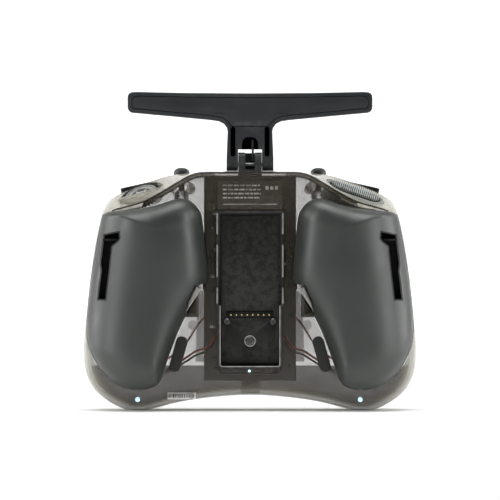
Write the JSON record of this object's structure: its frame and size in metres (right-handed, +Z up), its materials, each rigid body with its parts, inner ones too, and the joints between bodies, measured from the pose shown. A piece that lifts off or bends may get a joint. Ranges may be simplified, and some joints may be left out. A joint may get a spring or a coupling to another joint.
{
  "type": "radio transmitter controller",
  "caption": "Game-pad style radio transmitter with a smoked clear case, bulged rubber grips, sprung sticks, a rear module bay and a folding T antenna.",
  "frame": {"origin": "on the ground under the middle of the case, with the radio standing upright on the bottoms of its grips", "axes": "+X to the right as seen from the rear, +Y out of the face with the sticks, -Y out of the rear with the grips, +Z up along the raised antenna"},
  "size_m": [0.1566, 0.065, 0.1489],
  "materials": {
    "smoke": "clear smoked polycarbonate, polished",
    "grip_rubber": "satin soft-touch",
    "black_plastic": "satin",
    "antenna_plastic": "fine moulded texture",
    "grey_plastic": "satin",
    "board": "solder-masked board",
    "steel": "machined",
    "gold": "plated",
    "cell_wrap": "shrink wrap",
    "screen_glass": "clear",
    "screen_panel": "screen film"
  },
  "bodies": {
    "case": {"bay_screw_1": "steel", "bay_screw_2": "steel", "bay_screw_3": "steel", "cell_contact_left": "steel", "cell_contact_right": "steel", "cell_cradle_left": "black_plastic", "cell_cradle_right": "black_plastic", "cell_left": "cell_wrap", "cell_right": "cell_wrap", "charging_socket": "steel", "cover_latch_left": "smoke", "cover_latch_right": "smoke", "front_shell": "smoke", "gimbal_frame_left": "black_plastic", "gimbal_frame_right": "black_plastic", "hinge_block": "antenna_plastic", "hinge_pin": "steel", "main_board": "board", "module_bay_plate": "grey_plastic", "module_bay_tray": "black_plastic", "momentary_bezel": "black_plastic", "pin_header": "gold", "rear_shell": "smoke", "screen_panel": "screen_panel", "screen_window": "screen_glass", "side_pad_left": "black_plastic", "side_pad_right": "black_plastic", "speaker": "black_plastic", "toggle_body_left": "steel", "toggle_body_right": "steel", "wheel_axle": "steel"},
    "antenna": {"antenna_shell": "antenna_plastic", "antenna_panel": "antenna_plastic", "antenna_element": "gold", "coax_cable": "black_plastic"},
    "yoke_left": {"gimbal_yoke_left": "grey_plastic"},
    "stick_left": {"gimbal_stick_left": "black_plastic", "stick_end_left": "steel"},
    "toggle_left": {"toggle_lever_left": "black_plastic"},
    "shoulder_push_left": {"shoulder_push_left": "black_plastic"},
    "grip_cover_left": {"grip_cover_left": "grip_rubber"},
    "yoke_right": {"gimbal_yoke_right": "grey_plastic"},
    "stick_right": {"gimbal_stick_right": "black_plastic", "stick_end_right": "steel"},
    "toggle_right": {"toggle_lever_right": "black_plastic"},
    "shoulder_push_right": {"shoulder_push_right": "black_plastic"},
    "grip_cover_right": {"grip_cover_right": "grip_rubber"},
    "momentary_button": {"momentary_button": "grey_plastic"},
    "thumb_wheel": {"thumb_wheel": "black_plastic"},
    "scroll_roller": {"scroll_roller": "black_plastic"},
    "power_button": {"power_button": "black_plastic"},
    "menu_button": {"menu_button": "black_plastic"},
    "model_button": {"model_button": "black_plastic"},
    "page_button": {"page_button": "black_plastic"},
    "telemetry_button": {"telemetry_button": "black_plastic"},
    "return_button": {"return_button": "black_plastic"},
    "trim_left_level": {"trim_left_level": "black_plastic"},
    "trim_right_level": {"trim_right_level": "black_plastic"},
    "trim_left_upright": {"trim_left_upright": "black_plastic"},
    "trim_right_upright": {"trim_right_upright": "black_plastic"}
  },
  "joints": [
    {"name": "antenna_fold", "type": "hinge", "parent": "case", "child": "antenna", "pos_m": [0, -0.004, 0.1149], "axis": [1, 0, 0], "range_deg": [-15, 90]},
    {"name": "stick_updown_left", "type": "hinge", "parent": "case", "child": "yoke_left", "pos_m": [-0.0445, -0.001, 0.064], "axis": [1, 0, 0], "range_deg": [-20, 20]},
    {"name": "stick_sideways_left", "type": "hinge", "parent": "yoke_left", "child": "stick_left", "pos_m": [-0.0445, -0.001, 0.064], "axis": [0, 0, 1], "range_deg": [-20, 20], "stiffness_Nm_per_rad": 0.1},
    {"name": "toggle_left", "type": "hinge", "parent": "case", "child": "toggle_left", "pos_m": [-0.0323, 0.0075, 0.0994], "axis": [1, 0, 0], "range_deg": [-11, 11]},
    {"name": "shoulder_push_left", "type": "slide", "parent": "case", "child": "shoulder_push_left", "axis": [0.2201, 0, -0.9755], "range_m": [0, 0.0015]},
    {"name": "grip_cover_left", "type": "slide", "parent": "case", "child": "grip_cover_left", "axis": [0, -1, 0], "range_m": [0, 0.012]},
    {"name": "stick_updown_right", "type": "hinge", "parent": "case", "child": "yoke_right", "pos_m": [0.0445, -0.001, 0.064], "axis": [1, 0, 0], "range_deg": [-20, 20], "stiffness_Nm_per_rad": 0.1},
    {"name": "stick_sideways_right", "type": "hinge", "parent": "yoke_right", "child": "stick_right", "pos_m": [0.0445, -0.001, 0.064], "axis": [0, 0, 1], "range_deg": [-20, 20], "stiffness_Nm_per_rad": 0.1},
    {"name": "toggle_right", "type": "hinge", "parent": "case", "child": "toggle_right", "pos_m": [0.0323, 0.0075, 0.0994], "axis": [1, 0, 0], "range_deg": [-11, 11]},
    {"name": "shoulder_push_right", "type": "slide", "parent": "case", "child": "shoulder_push_right", "axis": [-0.2201, 0, -0.9755], "range_m": [0, 0.0015]},
    {"name": "grip_cover_right", "type": "slide", "parent": "case", "child": "grip_cover_right", "axis": [0, -1, 0], "range_m": [0, 0.012]},
    {"name": "momentary_press", "type": "slide", "parent": "case", "child": "momentary_button", "axis": [-0.2965, 0.4164, -0.8595], "range_m": [0, 0.0012], "stiffness_N_per_m": 900},
    {"name": "thumb_wheel_turn", "type": "hinge", "parent": "case", "child": "thumb_wheel", "pos_m": [-0.0506, -0.0056, 0.0999], "axis": [-0.3019, -0.4694, 0.8298], "range_deg": [-135, 135]},
    {"name": "roller_turn", "type": "hinge", "parent": "case", "child": "scroll_roller", "pos_m": [0.0105, 0.0084, 0.067], "axis": [1, 0, 0], "continuous": true},
    {"name": "power_press", "type": "slide", "parent": "case", "child": "power_button", "axis": [0, -1, 0], "range_m": [0, 0.0006], "stiffness_N_per_m": 1200},
    {"name": "menu_press", "type": "slide", "parent": "case", "child": "menu_button", "axis": [0, -1, 0], "range_m": [0, 0.0006], "stiffness_N_per_m": 1200},
    {"name": "model_press", "type": "slide", "parent": "case", "child": "model_button", "axis": [0, -1, 0], "range_m": [0, 0.0006], "stiffness_N_per_m": 1200},
    {"name": "page_press", "type": "slide", "parent": "case", "child": "page_button", "axis": [0, -1, 0], "range_m": [0, 0.0006], "stiffness_N_per_m": 1200},
    {"name": "telemetry_press", "type": "slide", "parent": "case", "child": "telemetry_button", "axis": [0, -1, 0], "range_m": [0, 0.0006], "stiffness_N_per_m": 1200},
    {"name": "return_press", "type": "slide", "parent": "case", "child": "return_button", "axis": [0, -1, 0], "range_m": [0, 0.0006], "stiffness_N_per_m": 1200},
    {"name": "trim_left_level_rock", "type": "hinge", "parent": "case", "child": "trim_left_level", "pos_m": [-0.0445, 0.0095, 0.0368], "axis": [0, 0, 1], "range_deg": [-4, 4], "stiffness_Nm_per_rad": 0.05},
    {"name": "trim_right_level_rock", "type": "hinge", "parent": "case", "child": "trim_right_level", "pos_m": [0.0445, 0.0095, 0.0368], "axis": [0, 0, 1], "range_deg": [-4, 4], "stiffness_Nm_per_rad": 0.05},
    {"name": "trim_left_upright_rock", "type": "hinge", "parent": "case", "child": "trim_left_upright", "pos_m": [-0.0202, 0.0095, 0.064], "axis": [1, 0, 0], "range_deg": [-4, 4], "stiffness_Nm_per_rad": 0.05},
    {"name": "trim_right_upright_rock", "type": "hinge", "parent": "case", "child": "trim_right_upright", "pos_m": [0.0202, 0.0095, 0.064], "axis": [1, 0, 0], "range_deg": [-4, 4], "stiffness_Nm_per_rad": 0.05}
  ]
}
